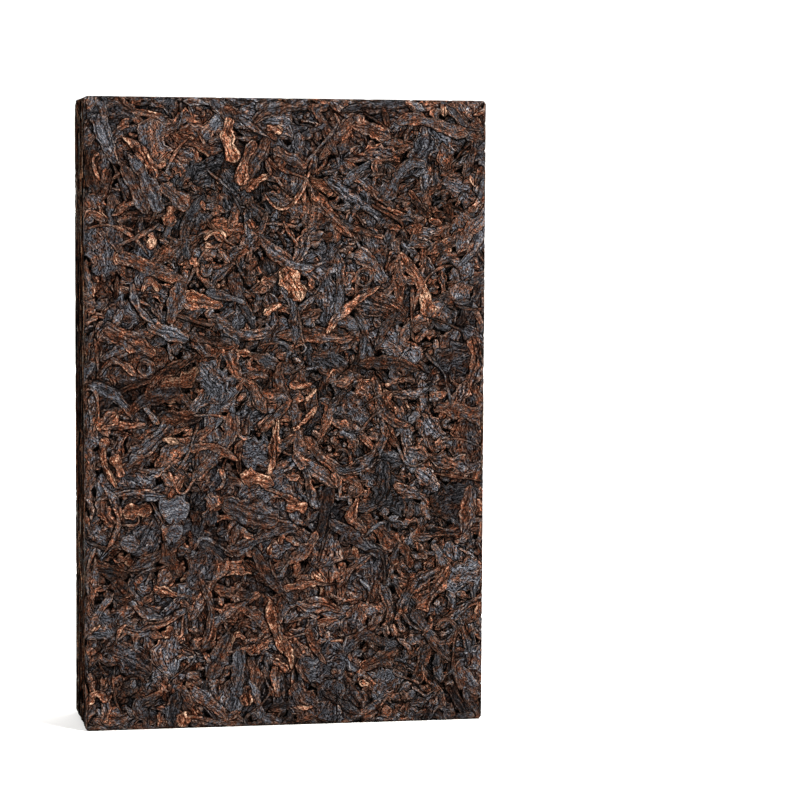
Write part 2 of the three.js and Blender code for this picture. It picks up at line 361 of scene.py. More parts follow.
# Each leaf's start, middle and end on the front as u, v in mm, then its width, warmth and tone.
PLACED_LEAVES = (
    (-41.9, 66.2, -41.3, 62.5, -39.6, 58.9, 2.9, 0.0, 0.9),
    (-34.7, 57.2, -31.0, 51.1, -28.4, 44.3, 3.1, 0.1, 0.7),
    (-36.7, 55.4, -34.3, 50.4, -31.0, 44.1, 2.4, 0.5, 0.5),
    (-28.4, 51.1, -25.3, 48.5, -22.0, 45.2, 3.3, 0.7, 0.6),
    (-26.0, 46.3, -26.2, 43.9, -26.9, 41.5, 2.4, 1.5, 0.6),
    (-37.8, 37.5, -33.0, 39.5, -28.2, 42.6, 1.1, 0.4, 0.5),
    (-7.2, 60.7, -9.6, 56.1, -10.5, 50.4, 2.2, 1.4, 0.9),
    (-3.4, 59.0, 0.4, 56.8, 4.3, 54.6, 2.2, 0.7, 0.6),
    (-11.2, 65.9, -7.8, 63.6, -3.8, 61.0, 1.3, 0.0, 0.9),
    (-23.5, 29.6, -24.9, 25.0, -26.4, 19.9, 3.1, 0.6, 0.5),
    (-31.3, 20.6, -27.3, 18.6, -21.8, 16.6, 2.9, 0.0, 1.1),
    (-41.4, 18.7, -35.0, 16.5, -29.1, 13.1, 3.8, 0.9, 0.7),
    (-34.3, 29.4, -33.5, 24.4, -29.5, 20.0, 1.6, 0.2, 0.6),
    (-41.8, 8.4, -38.3, 12.1, -33.5, 8.3, 1.6, 0.8, 0.6),
    (-18.5, 27.2, -14.0, 26.3, -9.1, 24.5, 1.8, 0.0, 0.5),
    (-36.2, -13.3, -34.6, -11.1, -31.5, -9.4, 3.3, 0.6, 0.4),
    (-41.5, -18.6, -40.8, -21.2, -38.6, -24.6, 2.7, 1.2, 0.6),
    (-28.4, -21.9, -25.3, -21.0, -21.8, -21.5, 5.3, -0.4, 1.0),
    (-27.8, -26.6, -25.8, -26.1, -23.3, -26.6, 4.0, -0.2, 0.8),
    (-14.6, -19.4, -8.4, -21.8, -1.6, -23.7, 5.3, 0.4, 0.3),
    (-37.3, -27.5, -35.1, -28.4, -33.1, -29.3, 3.3, 0.0, 0.8),
    (-21.8, -8.2, -17.3, -7.1, -10.6, -10.6, 1.8, 1.0, 0.5),
    (-34.9, -40.9, -32.2, -43.6, -27.3, -45.3, 2.0, 0.1, 0.8),
    (-12.4, -48.6, -15.0, -53.7, -17.7, -59.2, 3.6, 0.5, 0.3),
    (-3.8, -41.6, -3.1, -47.2, -0.4, -54.1, 2.0, 1.5, 0.6),
    (-1.1, -50.7, 0.5, -53.4, 1.2, -57.7, 1.8, 1.4, 0.6),
    (-2.6, -56.3, -2.4, -60.1, -1.7, -63.8, 2.0, 1.0, 1.0),
    (-0.9, -39.4, 3.0, -38.4, 6.8, -38.0, 1.8, 1.5, 0.6),
    (-5.7, -16.0, -0.5, -18.3, 4.5, -21.1, 1.3, 1.2, 0.7),
    (-18.0, -17.6, -16.9, -18.9, -15.7, -20.7, 2.7, 1.0, 1.1),
    (-36.9, 61.3, -32.3, 57.6, -29.3, 51.8, 2.2, 1.5, 0.8),
    (-31.2, 57.9, -29.3, 54.8, -27.1, 56.1, 1.3, 1.9, 0.7),
    (-5.8, 49.9, -0.2, 45.8, 5.4, 55.3, 1.0, 1.2, 1.0),
    (-19.3, 33.8, -18.0, 30.9, -16.9, 33.8, 1.3, 0.1, 0.8),
    (-41.5, 57.5, -43.0, 55.6, -41.3, 51.2, 0.9, 0.9, 0.9),
    (-1.1, 43.3, 0.5, 40.0, 3.0, 36.7, 0.9, 0.9, 0.7),
    (-4.5, 53.0, -7.1, 51.5, -9.4, 49.3, 1.8, 1.7, 0.9),
    (-4.9, 63.6, -3.1, 63.2, -1.1, 62.5, 1.8, 1.7, 0.8),
    (-32.4, 27.0, -30.6, 29.6, -28.4, 27.2, 1.8, 1.5, 0.7),
    (-6.0, 29.2, -4.4, 29.6, -2.6, 29.0, 2.2, 1.5, 0.7),
    (-41.7, -14.8, -37.5, -23.1, -42.1, -31.8, 1.6, 0.6, 0.9),
    (-15.1, -11.8, -14.4, -15.2, -16.9, -17.2, 1.1, 1.0, 0.9),
    (-4.1, -31.7, -2.0, -36.5, 0.7, -32.2, 1.3, 0.6, 0.7),
    (-42.3, -3.1, -40.5, -1.6, -37.9, 0.8, 3.6, 1.5, 1.1),
    (-41.6, -2.7, -36.8, -2.3, -31.3, -2.1, 1.6, 1.5, 1.0),
    (-39.0, -8.6, -37.7, -11.1, -37.0, -13.8, 2.0, 1.7, 0.8),
    (-39.7, -4.9, -41.0, -9.3, -37.7, -16.4, 1.8, 1.9, 0.8),
    (-36.8, -22.0, -33.5, -21.1, -30.0, -21.2, 2.9, 2.0, 0.7),
    (-10.4, -14.6, -7.2, -14.2, -2.7, -16.0, 3.1, 1.8, 0.7),
    (-0.5, -21.0, 2.2, -20.8, 4.7, -21.1, 2.0, 1.5, 0.8),
    (-3.1, -55.1, -1.5, -56.3, 0.1, -58.2, 1.8, 1.5, 0.8),
    (-8.7, -60.6, -9.0, -62.9, -9.2, -65.6, 2.2, 1.6, 0.6),
    (-23.8, -66.3, -23.3, -68.1, -23.6, -69.9, 2.7, 1.8, 0.7),
    (-44.4, -64.3, -42.7, -61.6, -40.0, -63.7, 1.8, 1.5, 0.7),
    (-30.8, 40.2, -30.2, 38.6, -30.8, 36.4, 2.0, 2.0, 0.9),
    (-12.7, 65.7, -13.4, 61.1, -11.4, 55.6, 2.7, 2.0, 1.1),
    (-19.3, 47.4, -18.9, 46.3, -18.2, 45.0, 1.1, 2.0, 1.0),
    (-18.5, 37.8, -16.2, 37.1, -14.2, 38.4, 1.1, 1.9, 0.9),
    (-18.7, 38.4, -16.5, 40.2, -14.0, 38.4, 1.6, 2.0, 0.9),
    (-8.9, 43.3, -8.2, 42.2, -7.6, 41.1, 1.6, 1.8, 0.8),
    (-1.1, 32.7, 1.0, 29.2, 3.2, 25.0, 3.8, 2.2, 1.2),
    (-5.5, 22.1, -3.5, 23.4, -1.3, 24.7, 1.6, 2.1, 0.9),
    (-21.8, 34.7, -20.9, 33.8, -20.0, 32.7, 1.6, 2.0, 0.9),
    (0.6, 7.2, 2.8, 6.3, 5.8, 6.9, 1.6, 1.9, 0.9),
    (4.0, 3.1, 5.3, 4.2, 6.5, 5.8, 1.1, 2.0, 0.9),
    (-28.0, -5.5, -26.4, -5.5, -24.0, -6.4, 1.3, 2.2, 1.0),
    (1.1, -3.6, 4.0, -1.6, 6.7, 2.0, 1.3, 1.9, 0.9),
    (-30.0, -38.3, -27.3, -39.3, -24.4, -40.2, 2.0, 2.1, 0.8),
    (-24.0, -41.1, -22.4, -42.5, -21.1, -43.7, 1.6, 1.6, 0.8),
    (-26.0, -46.7, -26.7, -48.2, -27.8, -49.5, 1.6, 1.9, 0.7),
    (-12.4, -51.5, -11.2, -49.3, -9.4, -50.5, 1.3, 1.9, 0.9),
    (-18.9, -52.9, -18.0, -54.1, -17.5, -55.6, 1.3, 1.3, 1.2),
    (-24.9, -53.6, -24.2, -53.9, -23.3, -53.0, 0.9, 1.8, 1.2),
    (2.1, -65.5, 4.0, -66.2, 6.2, -65.8, 1.1, 1.9, 0.8),
    (-38.2, -51.5, -37.5, -48.0, -35.6, -46.2, 0.9, 1.7, 0.9),
    (-43.9, -47.8, -42.8, -47.2, -41.5, -46.1, 0.9, 1.9, 0.9),
)


def between_matrix(count, times):
    """Weights that fill in a row of points to times as many, in straight lines."""
    fine = np.linspace(0, count - 1, (count - 1) * times + 1)
    low = np.minimum(fine.astype(int), count - 2)
    weights = np.zeros((len(fine), count))
    rows = np.arange(len(fine))
    weights[rows, low] = 1 - (fine - low)
    weights[rows, low + 1] = fine - low
    return weights


def smoothing_matrix(count, reach):
    """Weights that average each point of a row with its neighbours, by a bell curve of that reach."""
    spots = np.arange(count)
    weights = np.exp(-((spots[:, None] - spots) / reach) ** 2)
    return weights / weights.sum(1, keepdims=True)


DRAPE_REACH = 2.2           # how many stations a leaf evens the bed out over


def drape(chart, groups, order, bed, owner, laid=0):
    """Lays the leaves one after another. Each takes the height of the bed below it, evened out by its
    stiffness, adds its own relief, and becomes part of the bed for the next one. The owner of a cell is the
    leaf on top."""
    helpers = {}
    for group in groups:
        kind = group["kind"]
        helpers[kind.name] = (
            between_matrix(kind.stations, max(2, round(kind.length[1] / kind.stations / CELL))),
            between_matrix(kind.across, max(2, round(kind.width[1] / kind.across / CELL) + 1)),
            smoothing_matrix(kind.stations, DRAPE_REACH),
        )
        group["height"] = np.zeros_like(group["relief"])
        group["serial"] = np.zeros(len(group["u"]), int)
    for serial, (which, i) in enumerate(order, laid):
        group = groups[which]
        kind = group["kind"]
        group["serial"][i] = serial
        fill_along, fill_across, even = helpers[kind.name]
        u, v = group["u"][i], group["v"][i]
        below = bed[chart.cells(u, v)]
        level = even @ ((below.mean(1) + below.max(1)) / 2)
        loose = even @ below
        base = kind.stiff * level[:, None] + (1 - kind.stiff) * loose
        top = base + group["relief"][i]
        group["height"][i] = top
        cells = chart.cells(fill_along @ u @ fill_across.T, fill_along @ v @ fill_across.T)
        fine = fill_along @ top @ fill_across.T
        wins = fine > bed[cells]
        cells = (cells[0][wins], cells[1][wins])
        bed[cells] = fine[wins]
        owner[cells] = serial


def box_blur(field, reach, periodic):
    """Running mean along both axes, three times over, which is close to a bell-curve blur."""
    for _ in range(3):
        for axis in (0, 1):
            mode = "wrap" if periodic and axis == 0 else "edge"
            pad = [(reach + 1, reach) if a == axis else (0, 0) for a in (0, 1)]
            total = np.cumsum(np.pad(field, pad, mode=mode), axis)
            ahead = np.take(total, np.arange(2 * reach + 1, total.shape[axis]), axis)
            behind = np.take(total, np.arange(0, total.shape[axis] - 2 * reach - 1), axis)
            field = (ahead - behind) / (2 * reach + 1)
    return field


def press(chart, height, level):
    """The mould's wall as a soft ceiling: what reaches it flattens against it, by the logarithm of one plus
    an exponential, and what lies deeper is drawn in, ever less, towards the chart's depth."""
    free = (height - level - chart.wall) * chart.deepen
    under = chart.soft * np.logaddexp(0, -free / chart.soft)
    return -chart.depth * (1 - np.exp(-under / chart.depth))


def mixed_order(rng, groups):
    """The order of laying: crumbs at the bottom, then flat leaves and rolls mixed, stalks mostly last."""
    serials = [(which, i) for which, group in enumerate(groups) for i in range(len(group["u"]))]
    spans = np.array([LAYING.get(groups[which]["kind"].name, USUAL_LAYING) for which, _ in serials])
    when = rng.uniform(spans[:, 0], spans[:, 1])
    return [serials[k] for k in np.argsort(when)]


PLASTIC_STEPS = (0.7548776662, 0.5698402910)    # the plastic number's inverse, and its square
NUDGE = 1.2                                     # mm


def scattered(rng, chart, count, margin):
    """Places spread evenly by steps of the plastic number, each nudged at random."""
    steps = np.arange(count)[:, None] * np.array(PLASTIC_STEPS) + rng.uniform(0, 1, 2)
    places = (steps % 1 - 0.5) * (chart.size - 2 * np.array(margin))
    return places + rng.normal(0, NUDGE, (count, 2))


EDGE_SPREAD = 0.3           # radians between the outline and a leaf that is turned along it
EDGE_NEAR = 0.25            # a leaf is near the outline within this share of its kind's greatest length
EDGE_TURNED = 0.4           # share of those leaves that are turned


def face_leaves(chart, seed, counts):
    """A big face's bed: every kind at every heading, some turned along the outline where they are near it,
    and all moved in by what they would reach too far over it."""
    rng = np.random.default_rng(seed)
    groups = []
    for kind, count in counts:
        places = scattered(rng, chart, count, (RIM, RIM))
        heading = rng.uniform(0, EVERY_WAY, count)
        gap = np.stack([WIDTH / 2 - np.abs(places[:, 0]), HEIGHT / 2 - np.abs(places[:, 1])], 1)
        upright = np.argmin(gap, 1) == 0
        along_edge = np.where(upright, math.pi / 2, 0.0) + rng.normal(0, EDGE_SPREAD, count)
        close = (gap.min(1) < kind.length[1] * EDGE_NEAR) & (rng.random(count) < EDGE_TURNED)
        heading = np.where(close, along_edge, heading)
        group = strew(rng, kind, places[:, 0], places[:, 1], heading)
        for key, reach in (("u", WIDTH / 2 + OVER_EDGE), ("v", HEIGHT / 2 + OVER_EDGE)):
            past_high = np.maximum(group[key].max((1, 2)) - reach, 0)
            past_low = np.maximum(-group[key].min((1, 2)) - reach, 0)
            group[key] = group[key] + (past_low - past_high)[:, None, None]
        groups.append(group)
    groups.append(rim_leaves(rng, RIM_COUNT))
    return groups, mixed_order(rng, groups)


RIM_INSIDE = (0.2, 1.6)     # mm from the outline to a rim leaf's middle
RIM_SPREAD = 0.5            # radians between the outline and a rim leaf


def rim_leaves(rng, count):
    """Bits laid along the inside of a big face's outline, so that its rim is as full as its middle. Even
    steps walk round the four runs: along the foot, up the right, back along the top and down the left."""
    walk = (np.arange(count) + rng.uniform(0, 1, count)) / count * 2 * (WIDTH + HEIGHT)
    run = np.searchsorted(np.cumsum([WIDTH, HEIGHT, WIDTH]), walk, side="right")
    within = walk - np.array([0, WIDTH, WIDTH + HEIGHT, 2 * WIDTH + HEIGHT])[run]
    inside = rng.uniform(*RIM_INSIDE, count)
    across, up = np.array([WIDTH / 2, HEIGHT / 2])
    u = np.choose(run, [within - across, across - inside, across - within, inside - across])
    v = np.choose(run, [inside - up, within - up, up - inside, up - within])
    heading = np.where(run % 2 == 0, 0.0, math.pi / 2) + rng.normal(0, RIM_SPREAD, count)
    return strew(rng, RIMWISE, u, v, heading)


BAND_MARGIN = 0.6           # mm that the side leaves' middles keep from the big faces
EDGEWISE_LEAN = 0.1         # radians between a side leaf and the layers
CRUMB_LEAN = 0.25           # and between a side crumb and them


def band_leaves(chart, seed, counts):
    """The sides' bed: leaves seen edge on, lying along the brick's layers."""
    rng = np.random.default_rng(seed)
    groups = []
    for kind, count in counts:
        places = scattered(rng, chart, count, (0.0, BAND_MARGIN))
        lean = EDGEWISE_LEAN if kind is EDGEWISE else CRUMB_LEAN
        heading = rng.normal(0, lean, count) + math.pi * rng.integers(0, 2, count)
        groups.append(strew(rng, kind, places[:, 0], places[:, 1], heading))
    return groups, mixed_order(rng, groups)


DRIFT_WAVES = (12, 40, 7)   # the shortest and longest wave in mm, and how many there are
DRIFT_TOP = 3.2             # about the height of all of them together


def drift(rng, u, v):
    """A slow change over the bed, about -1 to 1: a sum of waves, each in a direction drawn."""
    total = np.zeros(np.shape(u))
    for length in np.geomspace(*DRIFT_WAVES):
        turn, phase = rng.uniform(0, 2 * math.pi, 2)
        total += np.sin(2 * math.pi / length * (u * math.cos(turn) + v * math.sin(turn)) + phase)
    return total / DRIFT_TOP


FILLING_LEAN = 0.2          # radians between a bit in a side's hollow and the layers
EVEN_BLUR = 7               # reach in cells of the blur that a hollow is measured from
HOLLOW_BLUR = 1             # and of the one that it is measured to


def hollow_filling(rng, chart, bed, kind, count):
    """Bits for the bed's hollows: a cell is drawn with a chance that grows as the cube of its depth under
    the bed's blurred height or its mean, whichever is higher."""
    even = np.maximum(box_blur(bed, EVEN_BLUR, chart.periodic), bed.mean())
    depth = np.maximum(even - box_blur(bed, HOLLOW_BLUR, chart.periodic), 0) ** 3
    rim = round(RIM / CELL)
    if not chart.periodic:
        depth[:rim] = depth[-rim:] = 0
        depth[:, :rim] = depth[:, -rim:] = 0
    chosen = rng.choice(depth.size, count, p=depth.ravel() / depth.sum())
    i, j = np.unravel_index(chosen, depth.shape)
    u = (i + 0.5) / chart.shape[0] * chart.size[0] - chart.size[0] / 2
    v = (j + 0.5) / chart.shape[1] * chart.size[1] - chart.size[1] / 2
    heading = rng.normal(0, FILLING_LEAN, count) if chart.periodic else rng.uniform(0, EVERY_WAY, count)
    return strew(rng, kind, u, v, heading)


# What is added to a bed's seed for each of its further draws.
FILLING_SEED = 50
COLOUR_SEED = 100
TONE_SEED = 200
WARMTH_SEED = 201

TONE_DRIFT = 0.45           # how far slow changes over a face lighten or darken its leaves
WARMTH_DRIFT = 0.25
PAINTED_LIT_SHARE = 0.48         # share of the side leaves painted lit, as if their edge caught the light
PAINTED_LIT_TONES = (0.55, 0.35)     # the range of their tones, and its lowest
# The side leaves painted in shade: the range of their tones, and its lowest.
PAINTED_SHADED_TONES = (0.4, -0.28)
WARM_SHARE = 0.07           # share of leaves that are buds or backs, much warmer than the rest
WARM_MORE = 0.8             # how much warmer
BROAD_WARM_MORE = 0.3       # broad leaves are old and hold no buds, so few stand out and all are less warm
BROAD_WARMTH = -0.2


def colour_leaves(rng, seed, chart, group):
    """Sets each leaf's tone and warmth: an even draw, plus a slow drift over the face, plus what a few warm
    leaves have more. On the sides, some tones are painted lit and the rest painted in shade, with little
    between."""
    middle = (group["u"].mean((1, 2)), group["v"].mean((1, 2)))
    count = len(middle[0])
    tone = rng.uniform(0, 1, count) + TONE_DRIFT * drift(np.random.default_rng(seed + TONE_SEED), *middle)
    if chart.periodic:
        # Painted light on the sides: some leaves painted lit, the rest painted in shade.
        painted_lit = rng.random(count) < PAINTED_LIT_SHARE
        span = np.where(painted_lit, PAINTED_LIT_TONES[0], PAINTED_SHADED_TONES[0])
        tone = rng.uniform(0, 1, count) * span + np.where(painted_lit, PAINTED_LIT_TONES[1], PAINTED_SHADED_TONES[1])
    more, usual = (BROAD_WARM_MORE, BROAD_WARMTH) if group["kind"] is BROAD else (WARM_MORE, 0.0)
    warmth = rng.uniform(0, 1, count) + usual + more * (rng.random(count) < WARM_SHARE)
    warmth = warmth + WARMTH_DRIFT * drift(np.random.default_rng(seed + WARMTH_SEED), *middle)
    if "given" in group:
        warmth, tone = group["given"].T
    group["tone"] = tone
    group["warmth"] = warmth


# The heights that a bed is pressed by, and that its painted shade in hollows is measured from, are blurs of
# it, each by its reach in cells.
LEVEL_BLUR = 3
WIDE_BLUR = 12
LEVEL_SHARE = 0.75          # how much of the level is the closer blur, the rest being the wide one
NEAR_BLUR = 2


@functools.lru_cache(maxsize=1)
def pressed_beds():
    """All three beds, strewn, draped, evened out and pressed on the mould, with what each leaf shows."""
    bed_set = bpy.context.scene.tea_bed
    share = bed_set.fullness
    beds = []
    for chart, fill, counts, filling, seed in (
        (FaceChart("front", -1), face_leaves, FACE_COUNTS, FACE_FILLING, bed_set.seed),
        (FaceChart("back", 1), face_leaves, FACE_COUNTS, FACE_FILLING, bed_set.seed + 1),
        (BandChart(), band_leaves, BAND_COUNTS, BAND_FILLING, bed_set.seed + 2),
    ):
        groups, order = fill(chart, seed, [(kind, round(count * share)) for kind, count in counts])
        bed = np.zeros(chart.shape)
        owner = np.full(chart.shape, -1)
        drape(chart, groups, order, bed, owner)
        laid = len(order)
        rng = np.random.default_rng(seed + FILLING_SEED)
        for kind, count in filling:
            count = round(count * share)
            bits = [hollow_filling(rng, chart, bed, kind, count)]
            drape(chart, bits, [(0, i) for i in range(count)], bed, owner, laid)
            groups += bits
            laid += count
        if chart.name == "front":
            chosen = [place_by_hand(rng, PLACED, PLACED_LEAVES)]
            drape(chart, chosen, [(0, i) for i in range(len(PLACED_LEAVES))], bed, owner, laid)
            groups += chosen
            laid += len(PLACED_LEAVES)
        wide = box_blur(bed, WIDE_BLUR, chart.periodic)
        level = LEVEL_SHARE * box_blur(bed, LEVEL_BLUR, chart.periodic) + (1 - LEVEL_SHARE) * wide
        near = box_blur(bed, NEAR_BLUR, chart.periodic)
        shown = np.bincount(owner[owner >= 0], minlength=laid) * CELL ** 2
        rng = np.random.default_rng(seed + COLOUR_SEED)
        for group in groups:
            group["chart"] = chart
            group["shown"] = shown[group["serial"]]
            cells = chart.cells(group["u"], group["v"])
            group["pressed"] = press(chart, group["height"], level[cells])
            # Painted shade in hollows: how far a point lies under the bed's near blur, in full painted shade
            # at the chart's shade depth.
            group["buried"] = np.clip((near[cells] - group["height"]) / chart.shade, 0, 1)
            colour_leaves(rng, seed, chart, group)
        beds.append((chart, groups))
    return beds


LEAST_SHOWN = 0.7           # square mm: a leaf that shows less than this is left out
THINNEST = 0.35             # mm from the lowest of a leaf's top to its underside
UNDERSIDE = np.array([0.55, -0.55])     # its two points below, as shares of the half width
LEAF_APART = 3.7            # how far apart two leaves' patterns are, in the third fibre coordinate


def carried_under(values):
    """Values across a leaf's top, with the last one given to the two points below it too."""
    return np.concatenate([values, np.repeat(values[..., -1:], 2, 2)], 2)


def with_underside(values):
    """Places across a leaf's top, and then those of the two points below it, between its two margins."""
    below = ((1 + UNDERSIDE) * values[..., -1:] + (1 - UNDERSIDE) * values[..., :1]) / 2
    return np.concatenate([values, below], 2)


def tube_faces(index):
    """The four corners of each face of a grid of tubes, closed across its last axis."""
    here, after = index[..., :-1, :], index[..., 1:, :]
    return np.stack([here, after, np.roll(after, -1, -1), np.roll(here, -1, -1)], -1).reshape(-1, 4)


def leaf_mesh(group):
    """Closed tubes, one a leaf. A ring goes across the top's points and back under them by two, lower than
    the lowest of the top by the leaf's thickness, and the two end rings are closed by one face each."""
    kept = group["shown"] > LEAST_SHOWN
    u, v, h = (group[key][kept] for key in ("u", "v", "pressed"))
    floor = h.min(2, keepdims=True) - THINNEST
    h_ring = np.concatenate([h, np.broadcast_to(floor, (*h.shape[:2], 2))], 2)
    points = group["chart"].place(with_underside(u), with_underside(v), h_ring)
    number = np.broadcast_to(np.arange(len(u))[:, None, None] * LEAF_APART, h_ring.shape)
    along, side = carried_under(group["along"][kept]), carried_under(group["side"][kept])
    features = {"fibre": np.stack([along, side, number], -1)}
    for key in ("margin", "buried"):
        features[key] = carried_under(group[key][kept])
    for key in ("tone", "warmth", "wrinkle"):
        features[key] = np.broadcast_to(group[key][kept][:, None, None], h_ring.shape)
    index = np.arange(h_ring.size).reshape(h_ring.shape)
    return points, features, tube_faces(index), np.concatenate([index[:, 0], index[:, -1, ::-1]])


def outward(points, quads, caps):
    """Turns the faces round if the enclosed volume, summed over the faces' fans, comes out negative."""
    flat = points.reshape(-1, 3)
    a, b, c, d = (flat[quads[:, k]] for k in range(4))
    volume = np.einsum("ij,ij->i", a, np.cross(b, c)).sum() + np.einsum("ij,ij->i", a, np.cross(c, d)).sum()
    if volume < 0:
        return quads[:, ::-1], caps[:, ::-1]
    return quads, caps


def build_piece(name, parts, material):
    """Joins meshes, given as points, features, quads and caps, into one smooth-shaded object in metres."""
    vertices, quad_list, cap_list, features = [], [], [], {}
    offset = 0
    for points, extra, quads, caps in parts:
        quads, caps = outward(points, quads, caps)
        vertices.append(points.reshape(-1, 3))
        quad_list.append(quads + offset)
        cap_list.append(caps + offset)
        offset += len(vertices[-1])
        for key, values in extra.items():
            features.setdefault(key, []).append(values.reshape(len(vertices[-1]), -1))
    if not offset:
        raise RuntimeError("there is nothing to make " + name + " from")
    faces = quad_list + cap_list
    loops = np.concatenate([face.ravel() for face in faces])
    sizes = np.concatenate([np.full(len(face), face.shape[1]) for face in faces])
    mesh = bpy.data.meshes.new(name)
    mesh.vertices.add(offset)
    mesh.vertices.foreach_set("co", (np.concatenate(vertices) * MM).astype(np.float32).ravel())
    mesh.loops.add(len(loops))
    mesh.loops.foreach_set("vertex_index", loops.astype(np.int32))
    mesh.polygons.add(len(sizes))
    mesh.polygons.foreach_set("loop_start", np.concatenate([[0], np.cumsum(sizes)[:-1]]).astype(np.int32))
    mesh.update(calc_edges=True)
    mesh.validate()
    mesh.shade_smooth()
    for key, values in features.items():
        values = np.concatenate(values).astype(np.float32)
        kind, slot = ("FLOAT_VECTOR", "vector") if values.shape[1] == 3 else ("FLOAT", "value")
        mesh.attributes.new(key, kind, "POINT").data.foreach_set(slot, values.ravel())
    mesh.materials.append(material)
    piece = bpy.data.objects.new(name, mesh)
    bpy.context.scene.collection.objects.link(piece)
    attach(piece, "root")
    return piece


CORE_SEED = 5
CORE_INSET = 1.0            # mm from the mould's wall to the core
CORE_MIDDLE = 0.02          # size of the face in the middle of each big side, as a share of the outline
CORE_CRUMBS = (1.6, 5.0, 14)    # the shortest and longest wave of its relief in mm, and how many there are
CORE_DENT = 0.14            # mm that the relief dents its big faces
CORE_PINCH = 0.004          # share that it draws the core's outline in
CORE_ROUND = 0.7 / 60       # share that the rim of its big faces is drawn in


def core_outline(count):
    """Points evenly along the mould's rounded outline, moved in by the core's inset."""
    chart = BandChart()
    u = (np.arange(count) / count - 0.5) * chart.size[0]
    zero = np.zeros(count)
    rim = chart.place(u, zero, zero - CORE_INSET)
    return rim[:, 0], rim[:, 2] - HEIGHT / 2


def core_mesh(around=160, down=30, over=12):
    """The bed's dark heart: the outline swept from a face's middle over the edge, down the side and back in.
    Crumb relief is a sum of sine waves whose directions and phases are drawn at random."""
    x, z = core_outline(around)
    face = np.linspace(CORE_MIDDLE, 1, down)
    side = np.linspace(-1, 1, over)[1:-1]
    scale = np.concatenate([face, np.ones(len(side)), face[::-1]])
    half = DEPTH / 2 - CORE_INSET
    y = np.concatenate([np.full(down, -half), side * half, np.full(down, half)])
    at_rim = np.zeros(len(scale))
    at_rim[[down - 1, -down]] = CORE_ROUND
    grid_x = scale[:, None] * x
    grid_z = scale[:, None] * z
    grid_y = np.broadcast_to(y[:, None], grid_x.shape)
    rng = np.random.default_rng(CORE_SEED)
    bump = np.zeros(grid_x.shape)
    for size in np.geomspace(*CORE_CRUMBS):
        way = rng.normal(0, 1, 3)
        way = way / np.linalg.norm(way) * 2 * math.pi / size
        bump += np.sin(grid_x * way[0] + grid_y * way[1] + grid_z * way[2] + rng.uniform(*PHASES))
    shrink = 1 - at_rim[:, None] - CORE_PINCH * np.abs(np.tanh(bump / 3))
    on_face = np.abs(grid_y) > half - 0.01
    dented = grid_y - np.sign(grid_y) * CORE_DENT * np.abs(bump) ** 0.7 * on_face
    points = np.stack([grid_x * shrink, dented, grid_z * shrink + HEIGHT / 2], -1)
    index = np.arange(grid_x.size).reshape(grid_x.shape)
    features = {"fibre": points.copy()}
    # The core is painted in full shade, at a low tone, with no painted light of creases and ridges.
    for key, value in (("margin", 1), ("buried", 1), ("tone", 0.3), ("warmth", 0.4), ("wrinkle", 0)):
        features[key] = np.full(grid_x.shape, float(value))
    return points, features, tube_faces(index), np.stack([index[0], index[-1, ::-1]])


def node(tree, kind, settings=None, inputs=None):
    """Adds a node, sets its properties, and gives each named input its value or links the socket to it."""
    made = tree.nodes.new(kind)
    for key, value in (settings or {}).items():
        setattr(made, key, value)
    for key, value in (inputs or {}).items():
        if isinstance(value, bpy.types.NodeSocket):
            tree.links.new(value, made.inputs[key])
        else:
            made.inputs[key].default_value = value
    return made


# Scales of the leaf's patterns. Fibre coordinates are in mm along and across a leaf, object ones in metres.
FLOW_SCALE = (0.22, 0.6, 1.0)       # what pushes wrinkles aside changes in 4.5 mm along and 1.7 mm across
FLOW_PUSH = 3.2
WRINKLES = 0.7                      # wrinkles a mm across, or one each 1.4 mm before they are pushed
STROKE_SCALE = (2.1, 4.0, 1.0)      # strokes of grain, 0.5 mm by 0.25 mm
PATCH_SCALE = 420.0                 # patches of colour, 2.4 mm across
RELIEF_DEPTH = 0.35                 # mm that wrinkles and grain stand out
LEAF_IOR = 1.45
PATCH_HUE = 2.4                     # how far patches, grain and warmth move the hue between slate and tan
GRAIN_HUE = 0.9
WARMTH_HUE = 0.28
HUE_START = -1.42
WHITE = (1.0, 1.0, 1.0, 1.0)
EASED = {"interpolation_type": "SMOOTHSTEP"}


